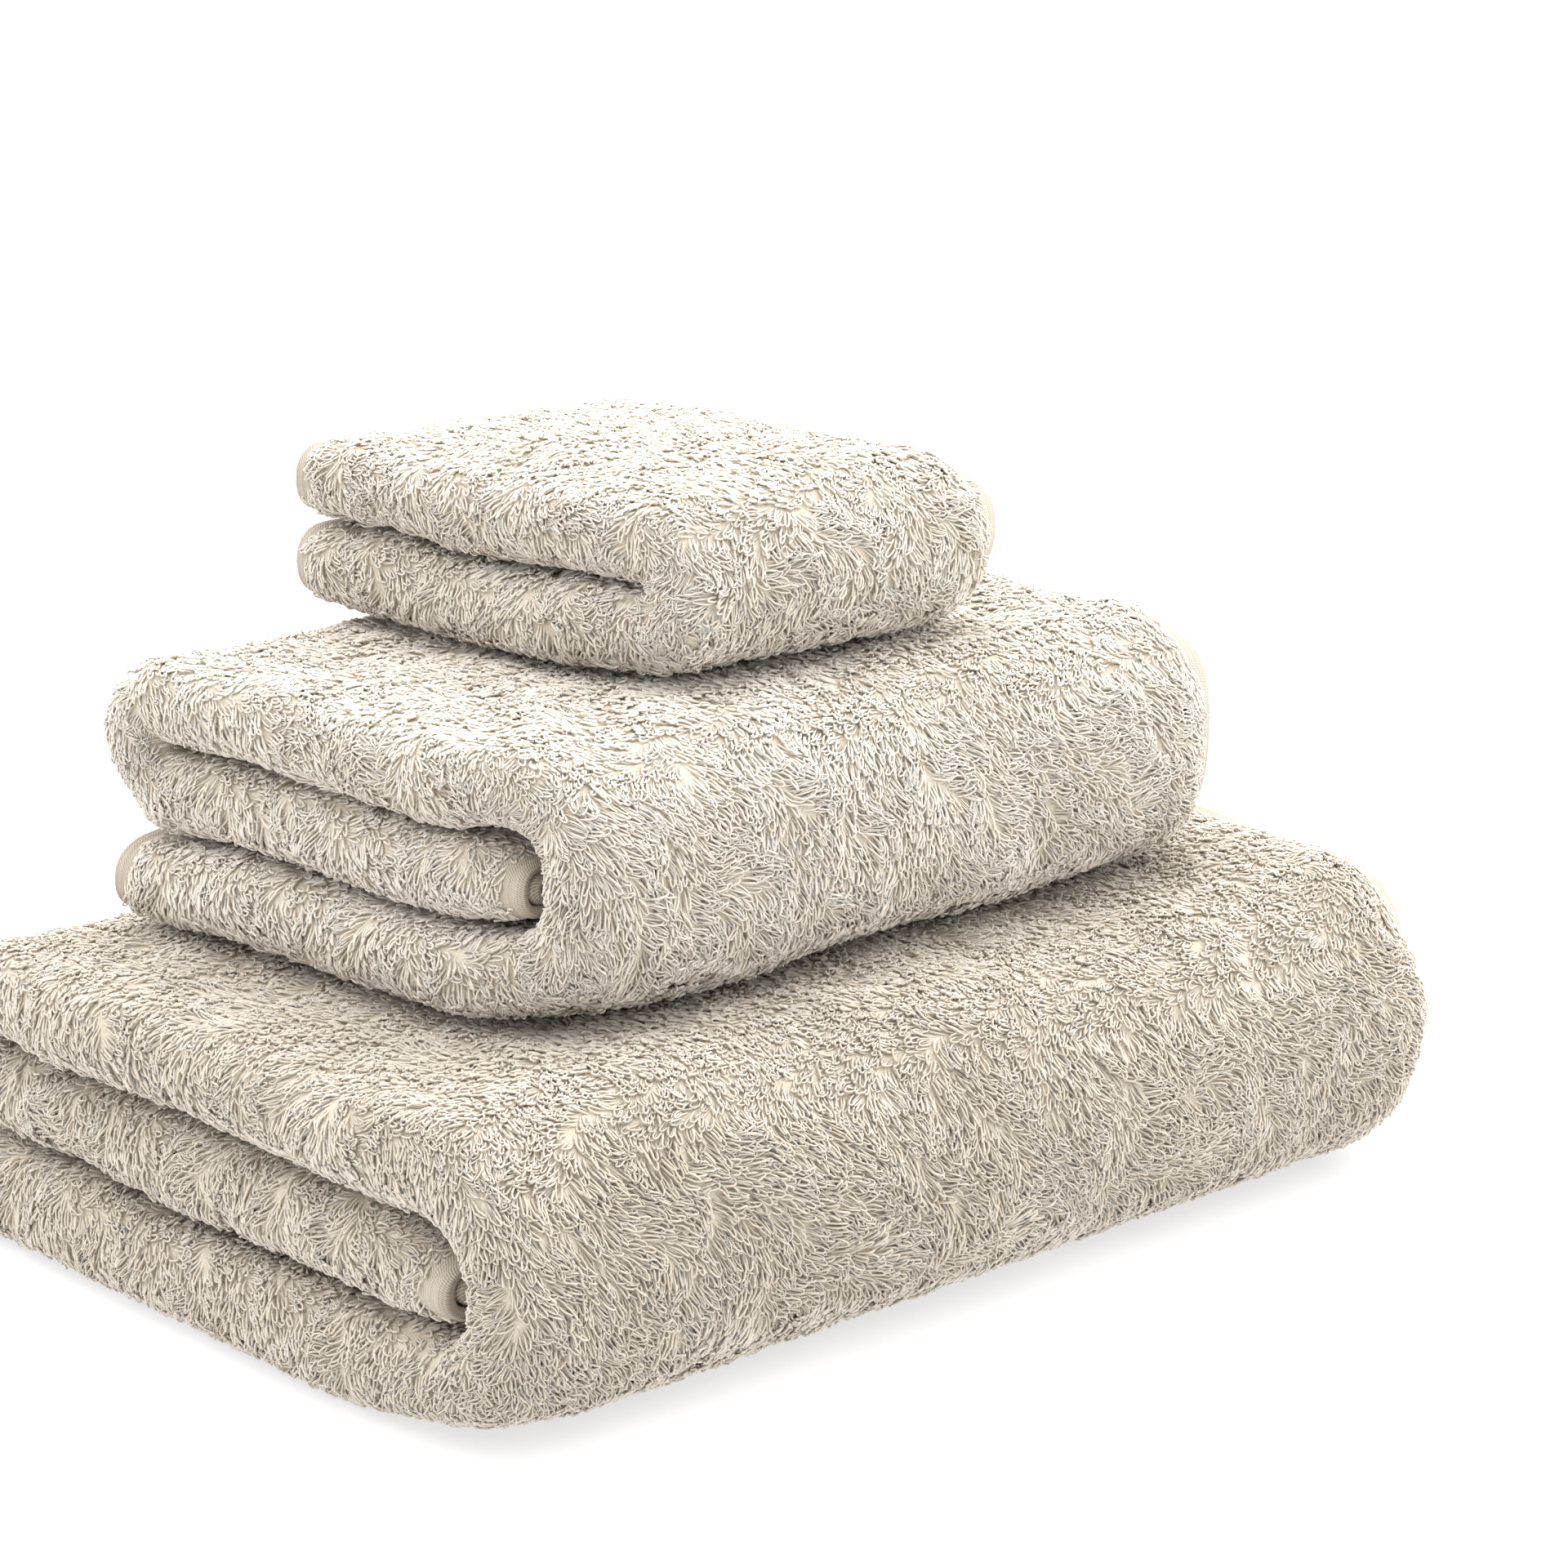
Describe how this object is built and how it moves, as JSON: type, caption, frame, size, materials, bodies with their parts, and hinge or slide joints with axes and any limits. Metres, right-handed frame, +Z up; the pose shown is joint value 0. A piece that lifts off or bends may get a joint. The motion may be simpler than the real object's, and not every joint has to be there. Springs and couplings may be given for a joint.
{
  "type": "bath towel set",
  "caption": "Folded plush terry towels in bath, hand and guest sizes, stacked with the largest below; the upper towels lift off and the top leaf opens.",
  "frame": {"origin": "centre of the bath towel's footprint, on the surface it rests on", "axes": "+Z up, +Y from the round folded front edges towards the end hems, +X towards the main folds"},
  "size_m": [0.2607, 0.3578, 0.2205],
  "materials": {
    "terry": "long looped cotton pile, matt with a soft sheen",
    "hem_weave": "flat woven cotton hem, matt",
    "sewing_thread": "twisted cotton sewing thread, matt"
  },
  "bodies": {
    "bath_towel": {"bath_bottom_leaf": "terry", "bath_main_fold": "terry", "bath_top_leaf": "terry", "bath_return_fold": "terry", "bath_tucked_leaf": "terry", "bath_side_hem_free": "hem_weave", "bath_side_hem_tucked": "hem_weave", "bath_end_hem_outer": "hem_weave", "bath_end_hem_inner": "hem_weave", "bath_side_seam_free": "sewing_thread", "bath_side_seam_tucked": "sewing_thread", "bath_end_seam": "sewing_thread"},
    "hand_towel": {"hand_bottom_leaf": "terry", "hand_main_fold": "terry", "hand_top_leaf": "terry", "hand_return_fold": "terry", "hand_tucked_leaf": "terry", "hand_side_hem_free": "hem_weave", "hand_side_hem_tucked": "hem_weave", "hand_end_hem_outer": "hem_weave", "hand_end_hem_inner": "hem_weave", "hand_side_seam_free": "sewing_thread", "hand_side_seam_tucked": "sewing_thread", "hand_end_seam": "sewing_thread"},
    "guest_towel": {"guest_bottom_leaf": "terry", "guest_fold": "terry", "guest_side_hem_lower": "hem_weave", "guest_side_seam_lower": "sewing_thread", "guest_end_hem_outer_lower": "hem_weave", "guest_end_hem_outer_fold": "hem_weave", "guest_end_hem_inner_lower": "hem_weave", "guest_end_hem_inner_fold": "hem_weave", "guest_end_seam_lower": "sewing_thread", "guest_end_seam_fold": "sewing_thread"},
    "guest_leaf": {"guest_top_leaf": "terry", "guest_side_hem_upper": "hem_weave", "guest_side_seam_upper": "sewing_thread", "guest_end_hem_outer_upper": "hem_weave", "guest_end_hem_inner_upper": "hem_weave", "guest_end_seam_upper": "sewing_thread"}
  },
  "joints": [
    {"name": "hand_towel_lift", "type": "slide", "parent": "bath_towel", "child": "hand_towel", "axis": [0, 0, 1], "range_m": [0, 0.12]},
    {"name": "guest_towel_lift", "type": "slide", "parent": "hand_towel", "child": "guest_towel", "axis": [0, 0, 1], "range_m": [0, 0.1]},
    {"name": "guest_leaf_open", "type": "hinge", "parent": "guest_towel", "child": "guest_leaf", "pos_m": [0.02879, 0, 0.19475], "axis": [0, 1, 0], "range_deg": [0, 60], "deforming": ["guest_fold", "guest_end_hem_outer_fold", "guest_end_hem_inner_fold", "guest_end_seam_fold"]}
  ]
}
